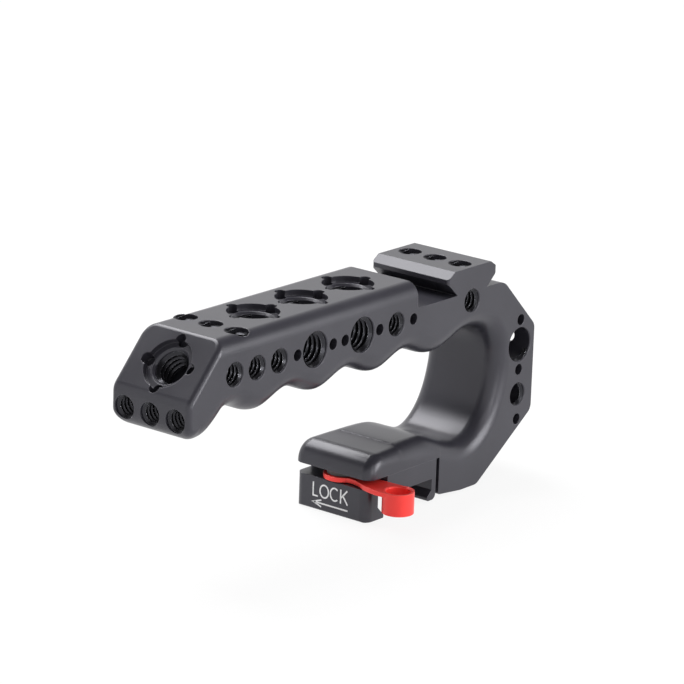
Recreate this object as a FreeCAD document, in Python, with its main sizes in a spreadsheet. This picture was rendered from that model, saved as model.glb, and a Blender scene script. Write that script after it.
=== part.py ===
import FreeCAD, Part
import math
import os

# Camera top handle: a machined closed-C grip over a quick-release rail clamp.
# Millimetres. +X runs from the nose to the closed back, +Z is up, and the origin is
# the centre of the clamp's rail seat. The lever is drawn released.

doc = FreeCAD.newDocument("top_handle")
sheet = doc.addObject("Spreadsheet::Sheet", "sizes")

SIZES = [
    ("body_width", 26.3),
    ("row_x", -21.45),
    ("row_z", 46.9),
    ("grip_top_z", 56.35),
    ("grip_top_round", 4.0),
    ("nose_x", -88.95),
    ("nose_break_x", -76.15),
    ("nose_break_z", 42.3),
    ("grip_end_x", 1.45),
    ("slot_floor_z", 49.5),
    ("rail_mid_x", 25.05),
    ("rail_width", 21.2),
    ("rail_top_width", 15.67),
    ("rail_neck_width", 12.8),
    ("rail_corner_round", 1.0),
    ("back_x", 54.0),
    ("seam_z", 5.35),
    ("thread_38_radius", 4.7625),
    ("thread_14_radius", 3.175),
    ("locating_pin_radius", 1.55),
    ("locating_pin_offset", 7.1),
    ("side_thread_depth", 7.9),
    ("side_pin_depth", 4.5),
    ("recess_radius", 7.0),
    ("recess_depth", 1.6),
    ("notch_radius", 1.55),
    ("notch_offset", 7.1),
    ("notch_depth", 3.0),
    ("large_thread_depth", 9.6),
    ("seat_half_width", 10.6),
    ("base_front_x", -8.65),
    ("base_back_x", 12.3),
    ("base_screw_radius", 1.2),
    ("base_screw_head_radius", 2.5),
    ("jaw_front_x", -16.15),
    ("jaw_half_width", 12.2),
    ("jaw_top_z", 2.55),
    ("jaw_bottom_z", -6.5),
    ("jaw_travel", 0.6),
    ("jaw_corner_round", 2.5),
    ("channel_half_width", 6.95),
    ("channel_end_x", -1.6),
    ("pivot_x", -11.35),
    ("pivot_radius", 1.5),
    ("hub_radius", 5.2),
    ("plate_top_z", 4.0),
    ("plate_bottom_z", 2.75),
    ("ring_x", -12.85),
    ("ring_y", -20.2),
    ("ring_radius", 4.3),
    ("ring_bore_radius", 3.35),
    ("ring_height", 6.0),
    ("spring_radius", 0.95),
    ("spring_wire_radius", 0.2),
]
for row, (alias, value) in enumerate(SIZES):
    sheet.set("A%d" % (row + 1), alias)
    sheet.set("B%d" % (row + 1), repr(value))
    sheet.setAlias("B%d" % (row + 1), alias)
doc.recompute()


def size(alias):
    return float(sheet.get(alias))


def vec(x, y, z):
    return FreeCAD.Vector(x, y, z)


half_width = size("body_width") / 2
side = {"near": -1, "far": 1}


# Profile helpers

def flat(point):
    return vec(point[0], point[1], 0)


def rounded_path(points):
    """Straight run through (x, z, corner radius) points, with tangent corner arcs."""
    parts = []
    start = flat(points[0])
    for before, here, after in zip(points, points[1:], points[2:]):
        corner = flat(here)
        radius = here[2]
        if radius == 0:
            parts.append(Part.LineSegment(start, corner))
            start = corner
            continue
        toward = (flat(before) - corner).normalize()
        away = (flat(after) - corner).normalize()
        half_angle = toward.getAngle(away) / 2
        reach = radius / math.tan(half_angle)
        first = corner + toward * reach
        last = corner + away * reach
        inward = (toward + away).normalize()
        middle = corner + inward * (radius / math.sin(half_angle) - radius)
        parts.append(Part.LineSegment(start, first))
        parts.append(Part.Arc(first, middle, last))
        start = last
    parts.append(Part.LineSegment(start, flat(points[-1])))
    return parts


def smooth_path(points, start_way, end_way):
    """Curve through (x, z) points that leaves and arrives along the given directions."""
    curve = Part.BSplineCurve()
    curve.interpolate(Points=[flat(p) for p in points],
                      InitialTangent=flat(start_way), FinalTangent=flat(end_way))
    return curve


def quarter_arc(first, centre, last):
    """Quarter circle from first to last about centre."""
    radius = (flat(first) - flat(centre)).Length
    out = (flat(first) + flat(last) - flat(centre) * 2).normalize()
    return Part.Arc(flat(first), flat(centre) + out * radius, flat(last))


# Outline of the machined body, seen from the side

nose_x = size("nose_x")
grip_top_z = size("grip_top_z")
floor_z = size("slot_floor_z")
rail_mid_x = size("rail_mid_x")
head_half = size("rail_width") / 2
top_half = size("rail_top_width") / 2
neck_half = size("rail_neck_width") / 2
back_x = size("back_x")
seam_z = size("seam_z")
front_x = size("jaw_front_x")
PALM_ROUND = 5.6
nose_low_z = 32.1
nose_flat_end = -85.3
palm_z = 11.4
palm_turn_z = palm_z - PALM_ROUND
head_top_z = grip_top_z - 1.85
head_low_z = head_top_z - 1.2
slot_wall_x = 13.65
outer = rounded_path([
    (nose_x, nose_low_z, 0),
    (nose_x, size("nose_break_z"), 4.0),
    (size("nose_break_x"), grip_top_z, 0),
    (size("grip_end_x"), grip_top_z, 0),
    (size("grip_end_x"), floor_z, 0.8),
    (rail_mid_x - neck_half, floor_z, 0),
    (rail_mid_x - head_half, head_low_z, 0),
    (rail_mid_x - head_half, head_top_z, 0),
    (rail_mid_x - top_half, grip_top_z, 0),
    (rail_mid_x + top_half, grip_top_z, 0),
    (rail_mid_x + head_half, head_top_z, 0),
    (rail_mid_x + head_half, head_low_z, 0),
    (rail_mid_x + neck_half, floor_z, 0),
    (39.25, floor_z, 5.0),
    (back_x, 34.6, 3.0),
    (back_x, 10.3, 3.0),
    (30.5, -6.15, 3.0),
    (23.35, -6.15, 12.0),
    (slot_wall_x, -5.15, 0.6),
    (slot_wall_x, seam_z, 0),
    (front_x, seam_z, 0),
    (front_x, palm_turn_z, 0),
])

# Finger waves under the grip: crests and hollows 23.9 apart, 3.3 deep
WAVE_PITCH = 23.87
wave_mean_z = 36.25
wave_half_depth = 1.65
first_crest_x = -60.85
wave_start = (-72.05, wave_mean_z + wave_half_depth)
waves = [wave_start, (-66.95, wave_mean_z)]
for crest in range(4):
    crest_x = first_crest_x + crest * WAVE_PITCH
    waves.append((crest_x, wave_mean_z - wave_half_depth))
    if crest < 3:
        waves.append((crest_x + WAVE_PITCH / 4, wave_mean_z))
        waves.append((crest_x + WAVE_PITCH / 2, wave_mean_z + wave_half_depth))
        waves.append((crest_x + WAVE_PITCH * 3 / 4, wave_mean_z))
throat_turn = (38.15, 26.9)
palm_start = (front_x + PALM_ROUND, palm_z)
inner = [
    Part.LineSegment(vec(nose_x, nose_low_z, 0), vec(nose_flat_end, nose_low_z, 0)),
    smooth_path([(nose_flat_end, nose_low_z), (-81.5, 32.6), (-77.9, 34.5),
                 (-74.9, 37.0), wave_start], (1, 0), (1, 0)),
    smooth_path(waves + [(17.75, 36.0), (21.95, 37.6), (26.75, 38.3), (31.75, 37.5),
                         (35.65, 35.1), (37.65, 31.6), throat_turn], (1, 0), (0, -1)),
    smooth_path([throat_turn, (37.95, 23.6), (37.25, 20.3), (36.15, 16.9), (34.55, 13.6),
                 (32.55, 10.9), (29.75, 8.5), (26.55, 7.1), (23.55, 6.9), (20.05, 7.7),
                 (16.55, 9.0), (13.05, 10.4), (10.05, 11.3), (7.05, 11.65), (-1.45, 11.8),
                 palm_start], (0, -1), (-1, 0)),
    quarter_arc(palm_start, (palm_start[0], palm_turn_z), (front_x, palm_turn_z)),
]


# Document objects

def sketch_of(name, edges):
    """Closed outline in the XZ plane."""
    sketch = doc.addObject("Sketcher::SketchObject", name)
    sketch.Placement = FreeCAD.Placement(vec(0, 0, 0), FreeCAD.Rotation(vec(1, 0, 0), 90))
    sketch.addGeometry(edges, False)
    return sketch


def extruded(name, base, length_expression, direction):
    body = doc.addObject("Part::Extrusion", name)
    body.Base = base
    body.DirMode = "Custom"
    body.Dir = direction
    body.Solid = True
    body.Symmetric = True
    body.setExpression("LengthFwd", length_expression)
    return body


def box(name, low, high):
    body = doc.addObject("Part::Box", name)
    body.Length = high[0] - low[0]
    body.Width = high[1] - low[1]
    body.Height = high[2] - low[2]
    body.Placement.Base = vec(*low)
    return body


def cylinder(name, radius, length, start, direction):
    """Round bar from start along direction; radius and length are sheet aliases or numbers."""
    body = doc.addObject("Part::Cylinder", name)
    for prop, value in (("Radius", radius), ("Height", length)):
        if isinstance(value, str):
            body.setExpression(prop, "sizes." + value)
        else:
            setattr(body, prop, value)
    turn = FreeCAD.Rotation(vec(0, 0, 1), vec(*direction))
    body.Placement = FreeCAD.Placement(vec(*start), turn)
    return body


def cone(name, radius_low, radius_high, length, start, direction):
    body = doc.addObject("Part::Cone", name)
    body.Radius1 = radius_low
    body.Radius2 = radius_high
    body.Height = length
    turn = FreeCAD.Rotation(vec(0, 0, 1), vec(*direction))
    body.Placement = FreeCAD.Placement(vec(*start), turn)
    return body


def cut(name, base, tool):
    body = doc.addObject("Part::Cut", name)
    body.Base = base
    body.Tool = tool
    return body


def gathered(name, tools):
    body = doc.addObject("Part::MultiFuse", name)
    body.Shapes = tools
    return body


# Machined body

profile = sketch_of("frame_profile", outer + inner)
blank = extruded("frame_blank", profile, "sizes.body_width", vec(0, 1, 0))
doc.recompute()

grip_round = size("grip_top_round")
rail_round = size("rail_corner_round")
trims = []
for label, sign in side.items():
    y_edge = sign * half_width
    y_in = sign * (half_width - grip_round)
    corner = box("grip_corner_" + label, (nose_x, min(y_in, y_edge + sign), grip_top_z - grip_round),
                 (size("grip_end_x"), max(y_in, y_edge + sign), grip_top_z + 1))
    bar = cylinder("grip_bar_" + label, "grip_top_round", size("grip_end_x") - nose_x,
                   (nose_x, y_in, grip_top_z - grip_round), (1, 0, 0))
    trims.append(cut("grip_trim_" + label, corner, bar))
    y_in = sign * (half_width - rail_round)
    for end, way in (("front", -1), ("back", 1)):
        x_edge = rail_mid_x + way * head_half
        x_in = x_edge - way * rail_round
        corner = box("rail_corner_%s_%s" % (end, label),
                     (min(x_in, x_edge + way), min(y_in, y_edge + sign), floor_z),
                     (max(x_in, x_edge + way), max(y_in, y_edge + sign), grip_top_z + 1))
        bar = cylinder("rail_bar_%s_%s" % (end, label), "rail_corner_round", 8.0,
                       (x_in, y_in, floor_z), (0, 0, 1))
        trims.append(cut("rail_trim_%s_%s" % (end, label), corner, bar))
trimmed = cut("frame_trimmed", blank, gathered("frame_trims", trims))
doc.recompute()

soft_middles = [edge.value((edge.FirstParameter + edge.LastParameter) / 2) for edge in inner]
GRIP_SOFT = 5.0
NOSE_SOFT = 4.4
PALM_END_SOFT = 3.0
FACE_EDGE = 1.5


def rounding(edge):
    """Start and end radius for one edge of the trimmed body, or None to leave it sharp."""
    middle = edge.valueAt((edge.FirstParameter + edge.LastParameter) / 2)
    on_side = abs(abs(middle.y) - half_width) < 0.001
    if abs(middle.y) < 0.1 and middle.x < nose_x + 0.1 and middle.z < nose_low_z + 0.1:
        return (NOSE_SOFT, NOSE_SOFT)
    if not on_side:
        return None
    if middle.x < nose_x + 0.9 and middle.z > nose_low_z + 1:
        return (FACE_EDGE, FACE_EDGE)
    if middle.x < -78 and 43 < middle.z < grip_top_z - grip_round:
        return (FACE_EDGE, FACE_EDGE)
    if abs(middle.x - front_x) < 0.01 and middle.z < palm_turn_z + 0.1:
        return (PALM_END_SOFT, PALM_END_SOFT)
    ends = [(NOSE_SOFT, NOSE_SOFT), (NOSE_SOFT, GRIP_SOFT), (GRIP_SOFT, GRIP_SOFT),
            (GRIP_SOFT, GRIP_SOFT), (GRIP_SOFT, PALM_END_SOFT)]
    for place, radii in zip(soft_middles, ends):
        if (middle - vec(place.x, middle.y, place.y)).Length < 0.5:
            return radii
    return None


softened = doc.addObject("Part::Fillet", "frame_softened")
softened.Base = trimmed
wanted = []
for number, edge in enumerate(trimmed.Shape.Edges):
    radii = rounding(edge)
    if radii:
        wanted.append((number + 1, radii[0], radii[1]))
softened.Edges = wanted
doc.recompute()


# Threaded holes, locating holes and recesses of the body

R38 = "thread_38_radius"
R14 = "thread_14_radius"
MOUTH = 0.25
ROW_LEAD = 0.1
SOCKET_LEAD = 0.6
row_x = size("row_x")
row_z = size("row_z")
pin_offset = size("locating_pin_offset")


def bore(name, radius, depth, mouth, outward, lead_in=MOUTH):
    """Blind bore with a small entry chamfer, as one cutting tool."""
    out = vec(*outward).normalize()
    depth_value = size(depth) if isinstance(depth, str) else depth
    start = vec(*mouth) - out * depth_value
    wall = size(radius)
    drill = cylinder(name, radius, depth_value + 1, start, out)
    lead = cone(name + "_lead", wall, wall + lead_in + 0.1, lead_in + 0.1, vec(*mouth) - out * lead_in, out)
    return [drill, lead]


def pin_hole(name, mouth, outward):
    out = vec(*outward).normalize()
    depth = size("side_pin_depth")
    return [cylinder(name, "locating_pin_radius", depth + 1, vec(*mouth) - out * depth, out)]


def located_socket(name, mouth, outward, across):
    """Large thread under a round recess with four locating notches."""
    out = vec(*outward).normalize()
    side_way = vec(*across).normalize()
    third = out.cross(side_way)
    centre = vec(*mouth)
    floor = centre - out * size("recess_depth")
    tools = bore(name, R38, size("large_thread_depth") - size("recess_depth"), floor, out, SOCKET_LEAD)
    tools.append(cylinder(name + "_recess", "recess_radius", size("recess_depth") + 1, floor, out))
    for number in range(4):
        angle = math.radians(90 * number)
        way = side_way * math.cos(angle) + third * math.sin(angle)
        spot = centre + way * size("notch_offset") - out * size("notch_depth")
        tools.append(cylinder("%s_notch_%d" % (name, number + 1), "notch_radius",
                              size("notch_depth") + 1, spot, out))
    return tools


tools = []
HALF_PITCH = 9.535
for number, x in enumerate((-3 * HALF_PITCH, -HALF_PITCH, HALF_PITCH)):
    tools += located_socket("top_socket_%d" % (number + 1), (row_x + x, 0, grip_top_z),
                            (0, 0, 1), (1, 0, 0))
break_x = size("nose_break_x")
slope = vec(break_x - nose_x, 0, grip_top_z - size("nose_break_z")).normalize()
slope_out = (-slope.z, 0, slope.x)
slope_mid = ((break_x + nose_x) / 2, 0, (grip_top_z + size("nose_break_z")) / 2)
tools += located_socket("nose_socket", slope_mid, slope_out, (slope.x, 0, slope.z))

ROW_STEP = 8.5
for number in (-1, 0, 1):
    y = number * ROW_STEP
    tools += bore("nose_row_%d" % (number + 2), R14, 6.5, (nose_x, y, row_z - 9.6), (-1, 0, 0), ROW_LEAD)
    tools += bore("top_row_%d" % (number + 2), R14, 5.7, (row_x - 45.0, y, grip_top_z), (0, 0, 1), ROW_LEAD)
    tools += bore("rail_row_%d" % (number + 2), R14, 5.6, (rail_mid_x, y, grip_top_z), (0, 0, 1), ROW_LEAD)

SIDE_PINS = (-26.17, -11.97, -7.1, 7.1, 21.3)
SIDE_LARGE = (-19.07, 0.0)
SIDE_SMALL = (-50.46, -41.85, -33.24, 14.2, 46.6)
column_x = row_x + 69.0
for label, sign in side.items():
    y = sign * half_width
    out = (0, sign, 0)
    for number, x in enumerate(SIDE_PINS):
        tools += pin_hole("side_pin_%s_%d" % (label, number + 1), (row_x + x, y, row_z), out)
    for number, x in enumerate(SIDE_LARGE):
        tools += bore("side_large_%s_%d" % (label, number + 1), R38, "side_thread_depth",
                      (row_x + x, y, row_z), out)
    for number, x in enumerate(SIDE_SMALL):
        tools += bore("side_small_%s_%d" % (label, number + 1), R14, "side_thread_depth",
                      (row_x + x, y, row_z), out)
    for number in range(3):
        z = row_z - 16.91 + (1 - 2 * number) * pin_offset
        tools += pin_hole("back_pin_%s_%d" % (label, number + 1), (column_x, y, z), out)
    tools += bore("back_large_" + label, R38, half_width + 0.5, (column_x, y, row_z - 16.91), out)
    tools += bore("back_small_" + label, R14, half_width + 0.5, (column_x, y, row_z - 31.11), out)

SLOT_ROUND = 2.5
SLOT_WALL = 5.4
SLOT_FLOOR_X = 48.0
slot_reach = half_width - SLOT_WALL - SLOT_ROUND
for label, z in (("upper", 30.7), ("lower", 14.1)):
    tools.append(box("strap_slot_" + label, (SLOT_FLOOR_X, -slot_reach, z - SLOT_ROUND),
                     (back_x + 1, slot_reach, z + SLOT_ROUND)))
    for end, sign in side.items():
        tools.append(cylinder("strap_slot_%s_%s" % (label, end), SLOT_ROUND, back_x + 1 - SLOT_FLOOR_X,
                              (SLOT_FLOOR_X, sign * slot_reach, z), (1, 0, 0)))

pivot_x = size("pivot_x")
SCREWS = {"front_near": (-4.55, -10.1), "front_far": (-4.55, 10.1),
          "rear_near": (6.2, -8.6), "rear_far": (6.2, 8.6)}
SCREW_TOP_Z = 9.5
PIN_TOP_Z = 8.9
PRESS_GAP = 0.01
screw_radius = size("base_screw_radius")
for label, (x, y) in SCREWS.items():
    tools.append(cylinder("screw_hole_" + label, screw_radius + 0.05, SCREW_TOP_Z + 0.2 - seam_z + 1,
                          (x, y, seam_z - 1), (0, 0, 1)))
pivot_radius = size("pivot_radius")
tools.append(cylinder("pivot_hole", pivot_radius + PRESS_GAP, PIN_TOP_Z + 0.1 - seam_z + 1,
                      (pivot_x, 0, seam_z - 1), (0, 0, 1)))
handle_frame = cut("handle_frame", softened, gathered("frame_holes", tools))
handle_frame.Label = "handle_frame"
doc.recompute()


# Clamp base: the fixed rail jaw, screwed under the palm rest

base_front_x = size("base_front_x")
base_back_x = size("base_back_x")
seat = size("seat_half_width")
HOOK_LOW_Z = -6.0
HOOK_TIP_X = 8.75
hook_profile = sketch_of("clamp_base_profile", rounded_path([
    (0, seam_z, 0),
    (base_front_x, seam_z, 0),
    (base_front_x, 0, 0),
    (seat, 0, 0),
    (seat, -3.1, 0),
    (HOOK_TIP_X, -3.1 - (seat - HOOK_TIP_X), 0.35),
    (HOOK_TIP_X, HOOK_LOW_Z, 0.6),
    (base_back_x, HOOK_LOW_Z, 1.5),
    (base_back_x, seam_z, 0),
    (0, seam_z, 0),
]))
base_blank = extruded("clamp_base_blank", hook_profile, "sizes.body_width", vec(0, 1, 0))
channel_half = size("channel_half_width")
channel_end_x = size("channel_end_x")
SPRING_Y = 3.8
SPRING_Z = 2.7
SPRING_START_X = -5.4
SPRING_END_X = 0.6
spring_bore = size("spring_radius") + 0.15
tools = [box("tongue_channel", (base_front_x - 1, -channel_half, -1),
             (channel_end_x, channel_half, seam_z + 1))]
HEAD_DEPTH = 1.3
head_radius = size("base_screw_head_radius")
for label, (x, y) in SCREWS.items():
    tools.append(cylinder("base_hole_" + label, screw_radius + 0.05, 8.0, (x, y, -1), (0, 0, 1)))
    tools.append(cone("base_sink_" + label, head_radius + 0.05, screw_radius + 0.05, HEAD_DEPTH,
                      (x, y, 0.1), (0, 0, 1)))
    tools.append(cylinder("base_sink_mouth_" + label, head_radius + 0.05, 1.1, (x, y, -1), (0, 0, 1)))
for label, sign in side.items():
    tools.append(cylinder("base_spring_seat_" + label, spring_bore, SPRING_END_X - channel_end_x + 1,
                          (channel_end_x - 1, sign * SPRING_Y, SPRING_Z), (1, 0, 0)))
clamp_base = cut("clamp_base", base_blank, gathered("clamp_base_cuts", tools))
clamp_base.Label = "clamp_base"


# Sliding jaw with its guide tongue, drawn released

jaw_top_z = size("jaw_top_z")
jaw_bottom_z = size("jaw_bottom_z")
jaw_half = size("jaw_half_width")
travel = size("jaw_travel")
JAW_BACK_X = -9.45
JAW_TIP_X = -8.65
grip_wall_x = -seat - travel
jaw_profile = sketch_of("lock_jaw_profile", rounded_path([
    (-14, jaw_top_z, 0),
    (front_x, jaw_top_z, 0.3),
    (front_x, jaw_bottom_z, 0.5),
    (JAW_TIP_X, jaw_bottom_z, 0.3),
    (JAW_TIP_X, -3.1 - (JAW_TIP_X - grip_wall_x), 0),
    (grip_wall_x, -3.1, 0),
    (grip_wall_x, 0.15, 0),
    (JAW_BACK_X, 0.15, 0),
    (JAW_BACK_X, jaw_top_z, 0),
    (-14, jaw_top_z, 0),
]))
jaw_blank = extruded("lock_jaw_blank", jaw_profile, "2 * sizes.jaw_half_width", vec(0, 1, 0))
jaw_round = size("jaw_corner_round")
tools = []
for label, sign in side.items():
    y_edge = sign * jaw_half
    y_in = sign * (jaw_half - jaw_round)
    corner = box("jaw_corner_" + label, (front_x - 1, min(y_in, y_edge + sign), jaw_bottom_z - 1),
                 (front_x + jaw_round, max(y_in, y_edge + sign), jaw_top_z + 1))
    bar = cylinder("jaw_bar_" + label, "jaw_corner_round", jaw_top_z - jaw_bottom_z + 2,
                   (front_x + jaw_round, y_in, jaw_bottom_z - 1), (0, 0, 1))
    tools.append(cut("jaw_trim_" + label, corner, bar))
jaw_rounded = cut("lock_jaw_rounded", jaw_blank, gathered("lock_jaw_trims", tools))

TONGUE_HALF = channel_half - 0.1
TONGUE_END_X = -3.0
HEAD_START_X = -5.9
tongue = box("jaw_tongue", (JAW_BACK_X - 0.5, -TONGUE_HALF, 0.2), (TONGUE_END_X, TONGUE_HALF, 2.45))
tongue_head = box("jaw_tongue_head", (HEAD_START_X, -TONGUE_HALF, 0.2),
                  (TONGUE_END_X, TONGUE_HALF, seam_z - 0.25))
jaw_whole = gathered("lock_jaw_whole", [jaw_rounded, tongue, tongue_head])

CAM_START = 2.3
CAM_GAP = 0.05
SWING = 160.0
POCKET_LOW_Z = 0.8
POCKET_BACK = 3.75
POCKET_HALF = 3.9
tools = [box("cam_pocket", (pivot_x - POCKET_BACK, -POCKET_HALF, POCKET_LOW_Z),
             (pivot_x + CAM_START + CAM_GAP, POCKET_HALF, jaw_top_z + 1))]
for label, sign in side.items():
    tools.append(cylinder("jaw_spring_seat_" + label, spring_bore, TONGUE_END_X - SPRING_START_X + 1,
                          (SPRING_START_X, sign * SPRING_Y, SPRING_Z), (1, 0, 0)))
lock_jaw = cut("lock_jaw", jaw_whole, gathered("lock_jaw_cuts", tools))
lock_jaw.Label = "lock_jaw"


# Cam lever: hub and arm plate, finger ring hanging from its end, linear cam underneath

ring_x = size("ring_x")
ring_y = size("ring_y")
hub_radius = size("hub_radius")
ring_radius = size("ring_radius")
plate_low_z = size("plate_bottom_z")
plate_top_z = size("plate_top_z")
plate_height = plate_top_z - plate_low_z
hub = cylinder("lever_hub", "hub_radius", plate_height, (pivot_x, 0, plate_low_z), (0, 0, 1))
front_edge = [(pivot_x - 3.7, -3.0), (-14.4, -5.4), (-14.9, -8.0), (-16.2, -11.0),
              (-17.25, -15.0), (ring_x - ring_radius + 0.3, ring_y)]
back_edge = [(ring_x + ring_radius - 0.3, ring_y), (-8.95, -16.0), (-9.15, -13.0), (-9.1, -8.0),
             (pivot_x + 3.7, -3.0)]
arm_curve_front = Part.BSplineCurve()
arm_curve_front.interpolate([vec(x, y, 0) for x, y in front_edge])
arm_curve_back = Part.BSplineCurve()
arm_curve_back.interpolate([vec(x, y, 0) for x, y in back_edge])
arm_outline = doc.addObject("Sketcher::SketchObject", "lever_arm_outline")
arm_outline.Placement.Base = vec(0, 0, plate_low_z + plate_height / 2)
arm_outline.addGeometry([
    arm_curve_front,
    Part.LineSegment(vec(front_edge[-1][0], front_edge[-1][1], 0), vec(*back_edge[0], 0)),
    arm_curve_back,
    Part.LineSegment(vec(*back_edge[-1], 0), vec(*front_edge[0], 0)),
], False)
arm = extruded("lever_arm", arm_outline, "sizes.plate_top_z - sizes.plate_bottom_z", vec(0, 0, 1))
ring_low_z = plate_top_z - size("ring_height")
ring = cylinder("lever_ring", "ring_radius", "ring_height", (ring_x, ring_y, ring_low_z), (0, 0, 1))


def cam_point(angle, lift, rate):
    """Point of the cam outline whose tangent faces the given direction."""
    normal = vec(math.cos(angle), math.sin(angle), 0)
    along = vec(-math.sin(angle), math.cos(angle), 0)
    return vec(pivot_x, 0, 0) + normal * lift + along * rate


rate = travel / math.radians(SWING)
cam_points = []
for degrees in range(-5, 166, 10):
    angle = math.radians(degrees)
    cam_points.append(cam_point(angle, CAM_START + rate * angle, rate))
cam_peak = CAM_START + travel
fall = -0.371 * travel
for degrees in range(195, 346, 15):
    angle = math.radians(degrees)
    cam_points.append(cam_point(angle, cam_peak + fall * (angle - math.radians(175)), fall))
cam_curve = Part.BSplineCurve()
cam_curve.interpolate(Points=cam_points, PeriodicFlag=True)
cam_outline = doc.addObject("Sketcher::SketchObject", "cam_outline")
CAM_LOW_Z = 0.95
cam_outline.Placement.Base = vec(0, 0, (CAM_LOW_Z + plate_low_z + 0.5) / 2)
cam_outline.addGeometry(cam_curve, False)
cam = extruded("lever_cam", cam_outline, "%r mm" % (plate_low_z + 0.5 - CAM_LOW_Z), vec(0, 0, 1))
lever_whole = gathered("cam_lever_whole", [hub, arm, ring, cam])
RUNNING_GAP = 0.04
ring_bore_radius = size("ring_bore_radius")
EDGE = 0.3
tools = [
    cylinder("ring_bore", "ring_bore_radius", size("ring_height") + 2, (ring_x, ring_y, ring_low_z - 1),
             (0, 0, 1)),
    cone("ring_bore_top", ring_bore_radius, ring_bore_radius + EDGE * 2, EDGE * 2,
         (ring_x, ring_y, plate_top_z - EDGE), (0, 0, 1)),
    cone("ring_bore_low", ring_bore_radius, ring_bore_radius + EDGE * 2, EDGE * 2,
         (ring_x, ring_y, ring_low_z + EDGE), (0, 0, -1)),
    cylinder("lever_bore", pivot_radius + RUNNING_GAP, 8.0, (pivot_x, 0, -1), (0, 0, 1)),
]
cam_lever = cut("cam_lever", lever_whole, gathered("cam_lever_cuts", tools))
cam_lever.Label = "cam_lever"


# Pivot pin, thrust washer, clamp screws and return springs

pivot_pin = cylinder("lever_pivot_pin", "pivot_radius", PIN_TOP_Z - 1.0, (pivot_x, 0, 1.0), (0, 0, 1))
pivot_pin.Label = "lever_pivot_pin"
WASHER_GAP = 0.05
washer_height = size("seam_z") - plate_top_z - 2 * WASHER_GAP
washer_disc = cylinder("washer_disc", 4.2, washer_height, (pivot_x, 0, plate_top_z + WASHER_GAP), (0, 0, 1))
washer_bore = cylinder("washer_bore", pivot_radius + 0.1, 3.0, (pivot_x, 0, plate_top_z - 1), (0, 0, 1))
lever_washer = cut("lever_washer", washer_disc, washer_bore)
lever_washer.Label = "lever_washer"

pieces = [handle_frame, clamp_base, lock_jaw, cam_lever, pivot_pin, lever_washer]
SOCKET_RADIUS = 0.87
for label, (x, y) in SCREWS.items():
    shank = cylinder("screw_shank_" + label, "base_screw_radius", SCREW_TOP_Z - 1.2, (x, y, 1.2),
                     (0, 0, 1))
    head = cone("screw_head_" + label, head_radius, screw_radius, HEAD_DEPTH, (x, y, 0.15), (0, 0, 1))
    socket = doc.addObject("Part::Prism", "screw_socket_" + label)
    socket.Polygon = 6
    socket.Circumradius = SOCKET_RADIUS
    socket.Height = 1.15
    socket.Placement.Base = vec(x, y, -0.15)
    screw = cut("clamp_screw_" + label, gathered("screw_whole_" + label, [shank, head]), socket)
    screw.Label = "clamp_screw_" + label
    pieces.append(screw)

wire_radius = size("spring_wire_radius")
SPRING_TURNS = 5
for label, sign in side.items():
    length = SPRING_END_X - SPRING_START_X - 2 * wire_radius - 0.1
    coil = doc.addObject("Part::Helix", "spring_path_" + label)
    coil.Radius = size("spring_radius") - wire_radius
    coil.Height = length
    coil.Pitch = length / SPRING_TURNS
    wire_round = doc.addObject("Part::Circle", "spring_wire_" + label)
    wire_round.Radius = wire_radius
    wire_round.Placement = FreeCAD.Placement(vec(coil.Radius.Value, 0, 0),
                                             FreeCAD.Rotation(vec(1, 0, 0), 90))
    doc.recompute()
    spring = doc.addObject("Part::Sweep", "jaw_spring_" + label)
    spring.Sections = [wire_round]
    spring.Spine = (coil, ["Edge1"])
    spring.Solid = True
    spring.Frenet = True
    doc.recompute()
    spring.Placement = FreeCAD.Placement(vec(SPRING_START_X + wire_radius + 0.05, sign * SPRING_Y, SPRING_Z),
                                         FreeCAD.Rotation(vec(0, 1, 0), 90))
    spring.Label = "jaw_spring_" + label
    pieces.append(spring)

doc.recompute()


# Checks and output

for item in doc.Objects:
    if "Invalid" in item.State or "Error" in item.State:
        raise RuntimeError("object failed: " + item.Name)
for piece in pieces:
    shape = piece.Shape
    if shape.isNull() or not shape.isValid() or len(shape.Solids) != 1:
        raise RuntimeError("bad shape: " + piece.Label)
if handle_frame.Shape.Volume > softened.Shape.Volume - 5000:
    raise RuntimeError("the holes of the body did not cut")
os.makedirs("parts", exist_ok=True)
for piece in pieces:
    piece.Shape.exportStep(os.path.join("parts", piece.Label + ".step"))
    print(piece.Label, round(piece.Shape.Volume, 1), piece.Shape.BoundBox)
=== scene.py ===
import math

import bmesh
import bpy
from mathutils import Matrix, Vector


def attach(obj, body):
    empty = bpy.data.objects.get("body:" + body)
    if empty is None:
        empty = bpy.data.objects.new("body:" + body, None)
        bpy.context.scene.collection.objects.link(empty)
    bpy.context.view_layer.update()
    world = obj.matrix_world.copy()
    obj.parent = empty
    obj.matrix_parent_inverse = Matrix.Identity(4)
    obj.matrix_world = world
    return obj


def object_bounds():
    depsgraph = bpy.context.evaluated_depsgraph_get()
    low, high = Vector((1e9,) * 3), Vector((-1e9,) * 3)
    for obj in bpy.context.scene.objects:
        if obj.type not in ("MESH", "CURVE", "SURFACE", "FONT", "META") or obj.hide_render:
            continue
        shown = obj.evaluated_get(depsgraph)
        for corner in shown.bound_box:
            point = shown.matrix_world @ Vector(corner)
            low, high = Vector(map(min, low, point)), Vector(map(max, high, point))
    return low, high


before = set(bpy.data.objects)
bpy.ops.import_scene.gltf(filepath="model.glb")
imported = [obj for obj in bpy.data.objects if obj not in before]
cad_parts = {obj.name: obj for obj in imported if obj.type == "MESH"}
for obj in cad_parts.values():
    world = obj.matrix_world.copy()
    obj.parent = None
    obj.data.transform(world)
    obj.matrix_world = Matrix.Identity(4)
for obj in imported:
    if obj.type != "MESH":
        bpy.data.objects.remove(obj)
cad_low, cad_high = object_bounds()

MM = 0.001


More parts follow.
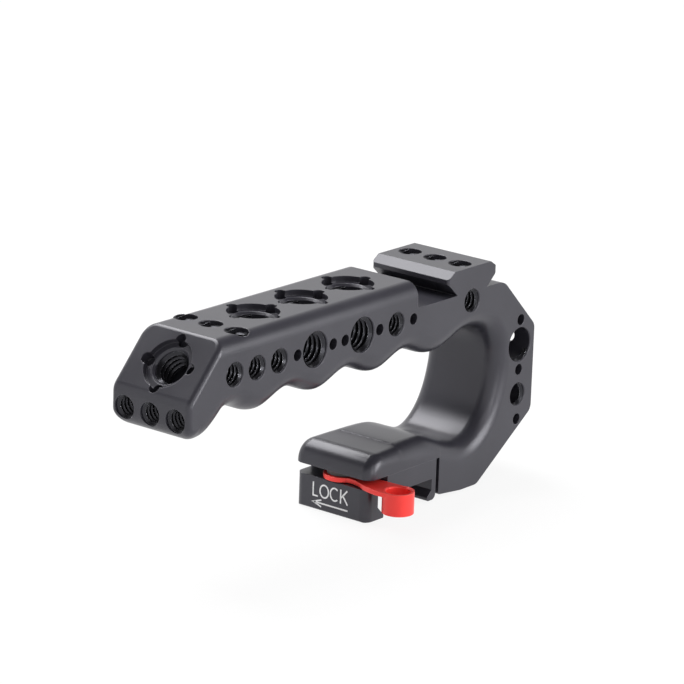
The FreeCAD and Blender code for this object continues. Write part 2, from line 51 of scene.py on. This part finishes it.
def mm(x, y, z):
    """Point in metres, given in millimetres."""
    return Vector((x, y, z)) * MM


# Camera: a long lens about 1.07 m away, above the nose's near side

CAMERA_PLACE = mm(-792.94, -627.80, 335.63)
CAMERA_RIGHT = Vector((0.634485, -0.772234, 0.032911))
CAMERA_UP = Vector((0.198592, 0.204022, 0.958612))
CAMERA_BACK = Vector((-0.746987, -0.601689, 0.282809))
CAMERA_LENS = 208.757
SENSOR_WIDTH = 36.0
NEAREST_SEEN = 0.05
FARTHEST_SEEN = 20.0

scene = bpy.context.scene
scene.view_settings.view_transform = "Standard"


def make_camera():
    """Camera of the scene, turned by its right, up and back directions."""
    data = bpy.data.cameras.new("camera")
    data.lens = CAMERA_LENS
    data.sensor_width = SENSOR_WIDTH
    data.clip_start = NEAREST_SEEN
    data.clip_end = FARTHEST_SEEN
    camera = bpy.data.objects.new("camera", data)
    scene.collection.objects.link(camera)
    turn = Matrix((CAMERA_RIGHT, CAMERA_UP, CAMERA_BACK)).transposed()
    camera.matrix_world = Matrix.Translation(CAMERA_PLACE) @ turn.to_4x4()
    scene.camera = camera


make_camera()


# Lamps: a large softbox above and behind, one at the near side, and two small ones towards the nose

HANDLE_MIDDLE = mm(-15, 0, 25)
LAMPS = (
    # name, place, width and height in metres, watts
    ("softbox_top", mm(80, 480, 820), 0.7, 0.7, 12.0),
    ("softbox_near_side", mm(350, -850, 250), 0.5, 0.6, 7.0),
    ("softbox_nose_edge", mm(-330, -760, 660), 0.12, 0.12, 0.35),
    ("strip_near_front", mm(-330, -950, 210), 0.10, 0.30, 1.0),
)


def make_lamp(name, place, width, height, power):
    """Rectangular lamp at place that faces the handle's middle."""
    lamp = bpy.data.lights.new(name, "AREA")
    lamp.shape = "RECTANGLE"
    lamp.size = width
    lamp.size_y = height
    lamp.energy = power
    holder = bpy.data.objects.new(name, lamp)
    holder.location = place
    holder.rotation_mode = "QUATERNION"
    holder.rotation_quaternion = (place - HANDLE_MIDDLE).to_track_quat("Z", "Y")
    scene.collection.objects.link(holder)


for lamp_values in LAMPS:
    make_lamp(*lamp_values)


# Node helpers

class Tree:
    """Small builder over one node tree."""

    def __init__(self, tree):
        self.tree = tree

    def node(self, kind, label="", **settings):
        made = self.tree.nodes.new(kind)
        made.label = label
        for name, value in settings.items():
            setattr(made, name, value)
        return made

    def join(self, out, into):
        self.tree.links.new(out, into)

    def math(self, operation, first, second):
        """Result of one operation on two sockets or numbers."""
        made = self.node("ShaderNodeMath", operation=operation)
        for slot, value in enumerate((first, second)):
            if isinstance(value, (int, float)):
                made.inputs[slot].default_value = value
            else:
                self.join(value, made.inputs[slot])
        return made.outputs[0]

    def spread(self, value, low, high):
        """Maps value from low..high to 0..1."""
        made = self.node("ShaderNodeMapRange")
        self.join(value, made.inputs["Value"])
        made.inputs["From Min"].default_value = low
        made.inputs["From Max"].default_value = high
        return made.outputs["Result"]

    def blend(self, factor, first, second):
        """Colour between first and second."""
        made = self.node("ShaderNodeMix", data_type="RGBA")
        self.join(factor, made.inputs["Factor"])
        for socket, value in ((made.inputs["A"], first), (made.inputs["B"], second)):
            if isinstance(value, tuple):
                socket.default_value = value
            else:
                self.join(value, socket)
        return made.outputs["Result"]


def new_group(name, inputs, outputs):
    """Node group with named sockets; returns its builder, its input node and its output node."""
    group = bpy.data.node_groups.new(name, "ShaderNodeTree")
    for label, kind, value in inputs:
        socket = group.interface.new_socket(label, in_out="INPUT", socket_type=kind)
        socket.default_value = value
    for label, kind in outputs:
        group.interface.new_socket(label, in_out="OUTPUT", socket_type=kind)
    build = Tree(group)
    return build, build.node("NodeGroupInput"), build.node("NodeGroupOutput")


FLOAT = "NodeSocketFloat"
COLOUR = "NodeSocketColor"


# Effects that several finishes share

EDGE_SAMPLES = 4
# Cosine between a face and the rounded edge beside it: where the painted edge highlight starts, and where it is
# full
EDGE_STARTS = 0.975
EDGE_FULL = 0.85


def make_blasted_grain():
    """Fine bead-blasted skin: matte pits, faint cloudy patches and a slight tone drift."""
    build, given, out = new_group(
        "blasted_grain",
        [("Tone", COLOUR, (0.05, 0.05, 0.055, 1)), ("Cloud Tone", COLOUR, (0.06, 0.06, 0.065, 1)),
         ("Grain Scale", FLOAT, 6000.0), ("Cloud Scale", FLOAT, 55.0),
         ("Roughness", FLOAT, 0.45), ("Roughness Spread", FLOAT, 0.05)],
        [("Color", COLOUR), ("Roughness", FLOAT), ("Height", FLOAT)])
    place = build.node("ShaderNodeTexCoord")
    grain = build.node("ShaderNodeTexNoise", "blast pits")
    grain.inputs["Detail"].default_value = 2.0
    build.join(place.outputs["Object"], grain.inputs["Vector"])
    build.join(given.outputs["Grain Scale"], grain.inputs["Scale"])
    cloud = build.node("ShaderNodeTexNoise", "dye clouds")
    cloud.inputs["Detail"].default_value = 3.0
    build.join(place.outputs["Object"], cloud.inputs["Vector"])
    build.join(given.outputs["Cloud Scale"], cloud.inputs["Scale"])
    soft = build.spread(cloud.outputs["Fac"], 0.3, 0.7)
    build.join(build.blend(soft, given.outputs["Tone"], given.outputs["Cloud Tone"]), out.inputs["Color"])
    drift = build.math("MULTIPLY", build.math("SUBTRACT", soft, 0.5), given.outputs["Roughness Spread"])
    build.join(build.math("ADD", given.outputs["Roughness"], drift), out.inputs["Roughness"])
    build.join(grain.outputs["Fac"], out.inputs["Height"])
    return build.tree


def make_edge_highlight():
    """Mask and normal of thin rounded edges; the normal rounds a broken machined corner, and the mask marks where a
    highlight colour is painted along it.
    """
    build, given, out = new_group(
        "edge_highlight", [("Width", FLOAT, 0.00025)],
        [("Mask", FLOAT), ("Normal", "NodeSocketVector")])
    bevel = build.node("ShaderNodeBevel", samples=EDGE_SAMPLES)
    build.join(given.outputs["Width"], bevel.inputs["Radius"])
    facing = build.node("ShaderNodeNewGeometry")
    lean = build.node("ShaderNodeVectorMath", operation="DOT_PRODUCT")
    build.join(bevel.outputs["Normal"], lean.inputs[0])
    build.join(facing.outputs["Normal"], lean.inputs[1])
    build.join(build.spread(lean.outputs["Value"], EDGE_STARTS, EDGE_FULL), out.inputs["Mask"])
    build.join(bevel.outputs["Normal"], out.inputs["Normal"])
    return build.tree


def make_tool_marks():
    """Fine parallel cutting lines across one direction, for cut and turned metal."""
    build, given, out = new_group(
        "tool_marks", [("Line Scale", FLOAT, 2600.0), ("Wander", FLOAT, 0.15)],
        [("Height", FLOAT)])
    place = build.node("ShaderNodeTexCoord")
    lines = build.node("ShaderNodeTexWave", "cutter lines", wave_type="BANDS", bands_direction="DIAGONAL")
    lines.inputs["Detail"].default_value = 2.0
    build.join(place.outputs["Object"], lines.inputs["Vector"])
    build.join(given.outputs["Line Scale"], lines.inputs["Scale"])
    build.join(given.outputs["Wander"], lines.inputs["Distortion"])
    build.join(lines.outputs["Fac"], out.inputs["Height"])
    return build.tree


BLASTED_GRAIN = make_blasted_grain()
EDGE_HIGHLIGHT = make_edge_highlight()
TOOL_MARKS = make_tool_marks()
SKIN_RELIEF = 0.00005


def make_finish(name, tone, cloud_tone, edge_highlight_tone, roughness, metallic, specular,
                grain_depth=0.12, edge_width=0.00025, tool_depth=0.0):
    """Principled finish over the shared grain and tool-mark effects, with a highlight colour painted along its
    rounded edges.
    """
    material = bpy.data.materials.new(name)
    material.use_nodes = True
    material.diffuse_color = tone
    build = Tree(material.node_tree)
    shader = material.node_tree.nodes["Principled BSDF"]
    grain = build.node("ShaderNodeGroup", "skin", node_tree=BLASTED_GRAIN)
    grain.inputs["Tone"].default_value = tone
    grain.inputs["Cloud Tone"].default_value = cloud_tone
    grain.inputs["Roughness"].default_value = roughness
    # Painted highlight: the edge mask blends the lighter edge colour into the base colour along rounded edges
    edge = build.node("ShaderNodeGroup", "edges", node_tree=EDGE_HIGHLIGHT)
    edge.inputs["Width"].default_value = edge_width
    build.join(build.blend(edge.outputs["Mask"], grain.outputs["Color"], edge_highlight_tone),
               shader.inputs["Base Color"])
    build.join(grain.outputs["Roughness"], shader.inputs["Roughness"])
    height = grain.outputs["Height"]
    bump = build.node("ShaderNodeBump", "skin relief")
    bump.inputs["Strength"].default_value = grain_depth
    bump.inputs["Distance"].default_value = SKIN_RELIEF
    if tool_depth:
        marks = build.node("ShaderNodeGroup", "tool marks", node_tree=TOOL_MARKS)
        height = build.math("ADD", height, build.math("MULTIPLY", marks.outputs["Height"], tool_depth))
    build.join(height, bump.inputs["Height"])
    build.join(edge.outputs["Normal"], bump.inputs["Normal"])
    build.join(bump.outputs["Normal"], shader.inputs["Normal"])
    shader.inputs["Metallic"].default_value = metallic
    shader.inputs["Specular IOR Level"].default_value = specular
    return material


# The third colour of each finish is its painted edge highlight, lighter than its tone
ANODISED_BLACK = make_finish(
    "anodised_black", (0.031, 0.030, 0.039, 1), (0.037, 0.036, 0.046, 1), (0.095, 0.093, 0.110, 1),
    roughness=0.32, metallic=0.3, specular=0.6)
# Its near-white edge colour paints bright glints on the thread crests
THREAD_BLACK = make_finish(
    "thread_black", (0.028, 0.028, 0.032, 1), (0.034, 0.034, 0.040, 1), (0.55, 0.55, 0.60, 1),
    roughness=0.20, metallic=0.8, specular=0.5, grain_depth=0.03, edge_width=0.00014)
ANODISED_RED = make_finish(
    "anodised_red", (0.80, 0.035, 0.030, 1), (0.86, 0.045, 0.035, 1), (0.95, 0.16, 0.13, 1),
    roughness=0.36, metallic=0.25, specular=0.5, grain_depth=0.06)
BRIGHT_STEEL = make_finish(
    "bright_steel", (0.52, 0.52, 0.53, 1), (0.57, 0.57, 0.58, 1), (0.75, 0.75, 0.76, 1),
    roughness=0.30, metallic=1.0, specular=0.5, tool_depth=0.5)
BLACK_STEEL = make_finish(
    "black_steel", (0.020, 0.020, 0.022, 1), (0.028, 0.027, 0.027, 1), (0.12, 0.12, 0.12, 1),
    roughness=0.36, metallic=0.8, specular=0.5, tool_depth=0.3)
GREY_POLYMER = make_finish(
    "washer_polymer", (0.055, 0.055, 0.055, 1), (0.065, 0.065, 0.065, 1), (0.09, 0.09, 0.09, 1),
    roughness=0.55, metallic=0.0, specular=0.5)
WHITE_MARKING = make_finish(
    "white_marking", (0.80, 0.80, 0.80, 1), (0.72, 0.72, 0.73, 1), (0.80, 0.80, 0.80, 1),
    roughness=0.6, metallic=0.0, specular=0.3, edge_width=0.00001)

SLOT_FINISH = {
    "black_anodised": ANODISED_BLACK,
    "red_anodised": ANODISED_RED,
    "steel": BRIGHT_STEEL,
    "black_steel": BLACK_STEEL,
    "polymer": GREY_POLYMER,
}
NODE_SLOTS = {
    "handle_frame": "black_anodised", "clamp_base": "black_anodised", "lock_jaw": "black_anodised",
    "cam_lever": "red_anodised", "lever_pivot_pin": "steel", "lever_washer": "polymer",
    "clamp_screw_front_near": "black_steel", "clamp_screw_front_far": "black_steel",
    "clamp_screw_rear_near": "black_steel", "clamp_screw_rear_far": "black_steel",
    "jaw_spring_near": "steel", "jaw_spring_far": "steel",
}
for node_name, slot_name in NODE_SLOTS.items():
    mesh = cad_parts[node_name].data
    mesh.materials.clear()
    mesh.materials.append(SLOT_FINISH[slot_name])


# Cut threads: a helical ridge inside every threaded bore

BODY_HALF_WIDTH = 13.15
ROW_X = -21.45
ROW_Z = 46.9
GRIP_TOP_Z = 56.35
# Ridge sizes below are in pitches, apart from EMBED in mm and LEAD_IN in turns
LARGE_THREAD = {"major": 4.7625, "pitch": 1.5875, "steps": 60}
SMALL_THREAD = {"major": 3.175, "pitch": 1.27, "steps": 44}
RIDGE_HEIGHT = 0.58
ROOT_HALF = 0.46
CREST_HALF = 0.07
EMBED = 0.03
LEAD_IN = 0.15


def add_thread(mesh, thread, mouth, outward, cone, start, stop):
    """Adds the ridge of one thread to a bmesh; start and stop are depths below the mouth in mm.

    A 45 degree countersink cuts the first turns; it meets the bore's wall at the depth cone.
    """
    axis = Vector(outward).normalized()
    across = axis.orthogonal().normalized()
    third = axis.cross(across)
    pitch = thread["pitch"]
    major = thread["major"]
    steps = thread["steps"]
    count = int((stop - start - 2 * ROOT_HALF * pitch) / pitch * steps)
    rings = []
    for step in range(count + 1):
        angle = 2 * math.pi * step / steps
        depth = start + ROOT_HALF * pitch + pitch * step / steps
        fade = min(1.0, (step + 1) / (LEAD_IN * steps), (count - step + 1) / (LEAD_IN * steps))
        height = RIDGE_HEIGHT * pitch * fade
        way = across * math.cos(angle) + third * math.sin(angle)
        ring = []
        for along, radius in ((-ROOT_HALF * pitch, major + EMBED), (-CREST_HALF * pitch, major - height),
                              (CREST_HALF * pitch, major - height), (ROOT_HALF * pitch, major + EMBED)):
            below = depth + along
            hidden = EMBED if below < cone else 0.0
            radius = max(radius, major + cone - below) + hidden
            point = Vector(mouth) - axis * below + way * radius
            ring.append(mesh.verts.new(point * MM))
        rings.append(ring)
    for first, second in zip(rings, rings[1:]):
        for corner in range(4):
            after = (corner + 1) % 4
            mesh.faces.new((first[corner], first[after], second[after], second[corner]))
    mesh.faces.new(tuple(reversed(rings[0])))
    mesh.faces.new(tuple(rings[-1]))


def finish_piece(name, mesh, material, body):
    """Turns a bmesh into a piece that rides on a body."""
    bmesh.ops.recalc_face_normals(mesh, faces=mesh.faces)
    data = bpy.data.meshes.new(name)
    mesh.to_mesh(data)
    mesh.free()
    data.materials.append(material)
    piece = bpy.data.objects.new(name, data)
    scene.collection.objects.link(piece)
    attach(piece, body)


def thread_piece(name, runs):
    """One piece holding several threads of the machined body."""
    mesh = bmesh.new()
    for run in runs:
        add_thread(mesh, *run)
    finish_piece(name, mesh, THREAD_BLACK, "handle")


# Depths of the countersinks, and of the first turn below a mouth

MOUTH_LEAD = 0.25
ROW_LEAD = 0.1
SOCKET_LEAD = 0.6
FIRST_TURN = 0.05

# Side rows: the same holes on the near and the far side, by their distance from the row's origin

SIDE_DEPTH = 7.9
SIDE_HOLES = ((SMALL_THREAD, (-50.46, -41.85, -33.24, 14.2, 46.6)), (LARGE_THREAD, (-19.07, 0.0)))
for label, sign in (("near", -1), ("far", 1)):
    thread_piece("threads_side_" + label, [
        (thread, (ROW_X + x, sign * BODY_HALF_WIDTH, ROW_Z), (0, sign, 0), MOUTH_LEAD, FIRST_TURN, SIDE_DEPTH)
        for thread, places in SIDE_HOLES for x in places])

# Back column: two holes on each side, by their distance below the side row

COLUMN_X = ROW_X + 69.0
COLUMN_DEPTH = 2.0
COLUMN_HOLES = ((LARGE_THREAD, 16.91), (SMALL_THREAD, 31.11))
thread_piece("threads_back_column", [
    (thread, (COLUMN_X, sign * BODY_HALF_WIDTH, ROW_Z - down), (0, sign, 0), MOUTH_LEAD, FIRST_TURN, COLUMN_DEPTH)
    for thread, down in COLUMN_HOLES for sign in (-1, 1)])

# Rows of three across the nose's front, the grip's top and the rail

ROW_STEP = 8.5
ROWS_OF_THREE = (
    # name, x and z of the mouths, outward direction, depth
    ("threads_nose_row", -88.95, ROW_Z - 9.6, (-1, 0, 0), 6.5),
    ("threads_top_row", ROW_X - 45.0, GRIP_TOP_Z, (0, 0, 1), 5.7),
    ("threads_rail_row", 25.05, GRIP_TOP_Z, (0, 0, 1), 5.6),
)
for row_name, row_x, row_z, outward, row_depth in ROWS_OF_THREE:
    thread_piece(row_name, [
        (SMALL_THREAD, (row_x, y, row_z), outward, ROW_LEAD, FIRST_TURN, row_depth)
        for y in (-ROW_STEP, 0.0, ROW_STEP)])

# Large sockets, threaded below a recess: three on the top and one on the nose's slope

HALF_PITCH = 9.535
SOCKET_DEPTH = 9.6
RECESS_DEPTH = 1.6
socket_cone = RECESS_DEPTH + SOCKET_LEAD
first_socket_turn = RECESS_DEPTH + FIRST_TURN
thread_piece("threads_top_sockets", [
    (LARGE_THREAD, (ROW_X + k * HALF_PITCH, 0, GRIP_TOP_Z), (0, 0, 1), socket_cone, first_socket_turn, SOCKET_DEPTH)
    for k in (-3, -1, 1)])
NOSE_SLOPE_MIDDLE = (-82.55, 0, 49.325)
NOSE_SLOPE_OUT = (-0.7392, 0, 0.6735)
thread_piece("threads_nose_socket", [
    (LARGE_THREAD, NOSE_SLOPE_MIDDLE, NOSE_SLOPE_OUT, socket_cone, first_socket_turn, SOCKET_DEPTH)])


# Printed direction marking on the jaw's front face

JAW_FRONT_X = -16.15
INK_PROUD = 0.02
INK_SUNK = 0.05
STROKE = 0.44
# Least cosine that a mitred join divides by, so that sharp corners stay short
MITRE_LIMIT = 0.35


def add_stroke(mesh, points):
    """Adds a flat printed line through (y, z) points, with mitred joins and square ends."""
    line = [Vector(p) for p in points]
    edges = []
    for index, point in enumerate(line):
        before = line[max(index - 1, 0)]
        after = line[min(index + 1, len(line) - 1)]
        first_way = (point - before).normalized() if index else (after - point).normalized()
        last_way = (after - point).normalized() if index < len(line) - 1 else first_way
        way = (first_way + last_way).normalized()
        square = Vector((-way.y, way.x))
        reach = STROKE / 2 / max(MITRE_LIMIT, way.dot(first_way))
        edges.append((point + square * reach, point - square * reach))
    rows = []
    for left, right in edges:
        row = []
        for place, x in ((left, -INK_PROUD), (right, -INK_PROUD), (right, INK_SUNK), (left, INK_SUNK)):
            row.append(mesh.verts.new(mm(JAW_FRONT_X + x, place.x, place.y)))
        rows.append(row)
    for first, second in zip(rows, rows[1:]):
        for corner in range(4):
            after = (corner + 1) % 4
            mesh.faces.new((first[corner], first[after], second[after], second[corner]))
    mesh.faces.new(tuple(reversed(rows[0])))
    mesh.faces.new(tuple(rows[-1]))


OVAL_STEPS = 28


def oval(centre, half_width, half_height, first_angle, last_angle):
    """Points along an oval in (y, z); angles in degrees, 0 towards -y, 90 up."""
    made = []
    for step in range(OVAL_STEPS + 1):
        angle = math.radians(first_angle + (last_angle - first_angle) * step / OVAL_STEPS)
        made.append((centre[0] - half_width * math.cos(angle), centre[1] + half_height * math.sin(angle)))
    return made


def marking_piece(name, strokes):
    """One white marking on the jaw, from its strokes."""
    mesh = bmesh.new()
    for points in strokes:
        add_stroke(mesh, points)
    finish_piece(name, mesh, WHITE_MARKING, "jaw")


# Letters: lines through the middle of the strokes, which end half a stroke beyond text_top and text_low

text_top = 0.85
text_low = -2.65
text_middle = (text_top + text_low) / 2
half_height = (text_top - text_low) / 2
stroke_top = text_top + STROKE / 2
stroke_low = text_low - STROKE / 2
ROUND_HALF_WIDTH = 1.45
C_MOUTH_ANGLE = 48
marking_piece("marking_lock", [
    [(6.0, stroke_top), (6.0, text_low), (4.35, text_low)],
    oval((2.2, text_middle), ROUND_HALF_WIDTH, half_height, 0, 360),
    oval((-1.35, text_middle), ROUND_HALF_WIDTH, half_height, C_MOUTH_ANGLE, 360 - C_MOUTH_ANGLE),
    [(-3.45, stroke_top), (-3.45, stroke_low)],
    [(-5.65, stroke_top), (-3.6, text_middle - 0.35)],
    [(-4.25, text_middle + 0.25), (-5.85, stroke_low)],
])

ARROW_Z = -4.42
ARROW_TIP_Y = 5.85
ARROW_TAIL_Y = -5.95
BARB_Y = 3.1
BARB_RISE = 0.95
SHAFT_SHORT_OF_TIP = 0.2
marking_piece("marking_arrow", [
    [(ARROW_TAIL_Y, ARROW_Z), (ARROW_TIP_Y - SHAFT_SHORT_OF_TIP, ARROW_Z)],
    [(BARB_Y, ARROW_Z + BARB_RISE), (ARROW_TIP_Y, ARROW_Z), (BARB_Y, ARROW_Z - BARB_RISE)],
])


# Pale floor and room

FLOOR_SIZE = 6.0
FLOOR_GAP = 0.0002
FLOOR_WHITE = (0.82, 0.82, 0.82, 1)
FLOOR_ROUGHNESS = 0.9
PURE_WHITE = (1.0, 1.0, 1.0, 1)
SHADOW_KEPT = 0.12
ROOM_STRENGTH = 0.55
# Upward part of a direction: where the white backdrop starts to fall off, and where the ceiling begins
SWEEP_TOP = 0.44
CEILING_START = 0.60
CEILING_TONE = (0.06, 0.055, 0.06, 1)


def seen_directly(build):
    """1 for rays from the camera and for mirror or glass rays, 0 for light on the object."""
    path = build.node("ShaderNodeLightPath")
    either = build.math("MAXIMUM", path.outputs["Is Camera Ray"], path.outputs["Is Glossy Ray"])
    return build.math("MAXIMUM", either, path.outputs["Is Transmission Ray"])


def make_floor_material():
    """Pale matte floor that looks white to the camera and keeps part of the shadow."""
    material = bpy.data.materials.new("pale_floor")
    material.use_nodes = True
    build = Tree(material.node_tree)
    matte = material.node_tree.nodes["Principled BSDF"]
    matte.inputs["Base Color"].default_value = FLOOR_WHITE
    matte.inputs["Roughness"].default_value = FLOOR_ROUGHNESS
    matte.inputs["Specular IOR Level"].default_value = 0.0
    glow = build.node("ShaderNodeEmission")
    glow.inputs["Color"].default_value = PURE_WHITE
    glow.inputs["Strength"].default_value = 1.0
    mixed = build.node("ShaderNodeMixShader")
    build.join(build.math("MULTIPLY", seen_directly(build), 1.0 - SHADOW_KEPT), mixed.inputs["Fac"])
    build.join(matte.outputs["BSDF"], mixed.inputs[1])
    build.join(glow.outputs["Emission"], mixed.inputs[2])
    build.join(mixed.outputs["Shader"], material.node_tree.nodes["Material Output"].inputs["Surface"])
    return material


def make_floor():
    """Flat floor just below the lowest point of the handle."""
    mesh = bmesh.new()
    floor_z = cad_low.z - FLOOR_GAP
    mesh.faces.new([mesh.verts.new((x * FLOOR_SIZE, y * FLOOR_SIZE, floor_z))
                    for x, y in ((-1, -1), (1, -1), (1, 1), (-1, 1))])
    data = bpy.data.meshes.new("floor")
    mesh.to_mesh(data)
    mesh.free()
    floor = bpy.data.objects.new("floor", data)
    scene.collection.objects.link(floor)
    data.materials.append(make_floor_material())


def make_room():
    """World: white backdrop under a dark ceiling as seen, and an even fill as light on the object."""
    room = bpy.data.worlds.new("room")
    scene.world = room
    room.use_nodes = True
    build = Tree(room.node_tree)
    room.node_tree.nodes.clear()
    backdrop = build.node("ShaderNodeBackground", "seen")
    direction = build.node("ShaderNodeTexCoord")
    split = build.node("ShaderNodeSeparateXYZ")
    build.join(direction.outputs["Generated"], split.inputs[0])
    rise = build.spread(split.outputs["Z"], SWEEP_TOP, CEILING_START)
    build.join(build.blend(rise, PURE_WHITE, CEILING_TONE), backdrop.inputs["Color"])
    backdrop.inputs["Strength"].default_value = 1.0
    fill = build.node("ShaderNodeBackground", "fill light")
    fill.inputs["Color"].default_value = PURE_WHITE
    fill.inputs["Strength"].default_value = ROOM_STRENGTH
    mixed = build.node("ShaderNodeMixShader")
    build.join(seen_directly(build), mixed.inputs["Fac"])
    build.join(fill.outputs["Background"], mixed.inputs[1])
    build.join(backdrop.outputs["Background"], mixed.inputs[2])
    world_out = build.node("ShaderNodeOutputWorld")
    build.join(mixed.outputs["Shader"], world_out.inputs["Surface"])


make_floor()
make_room()
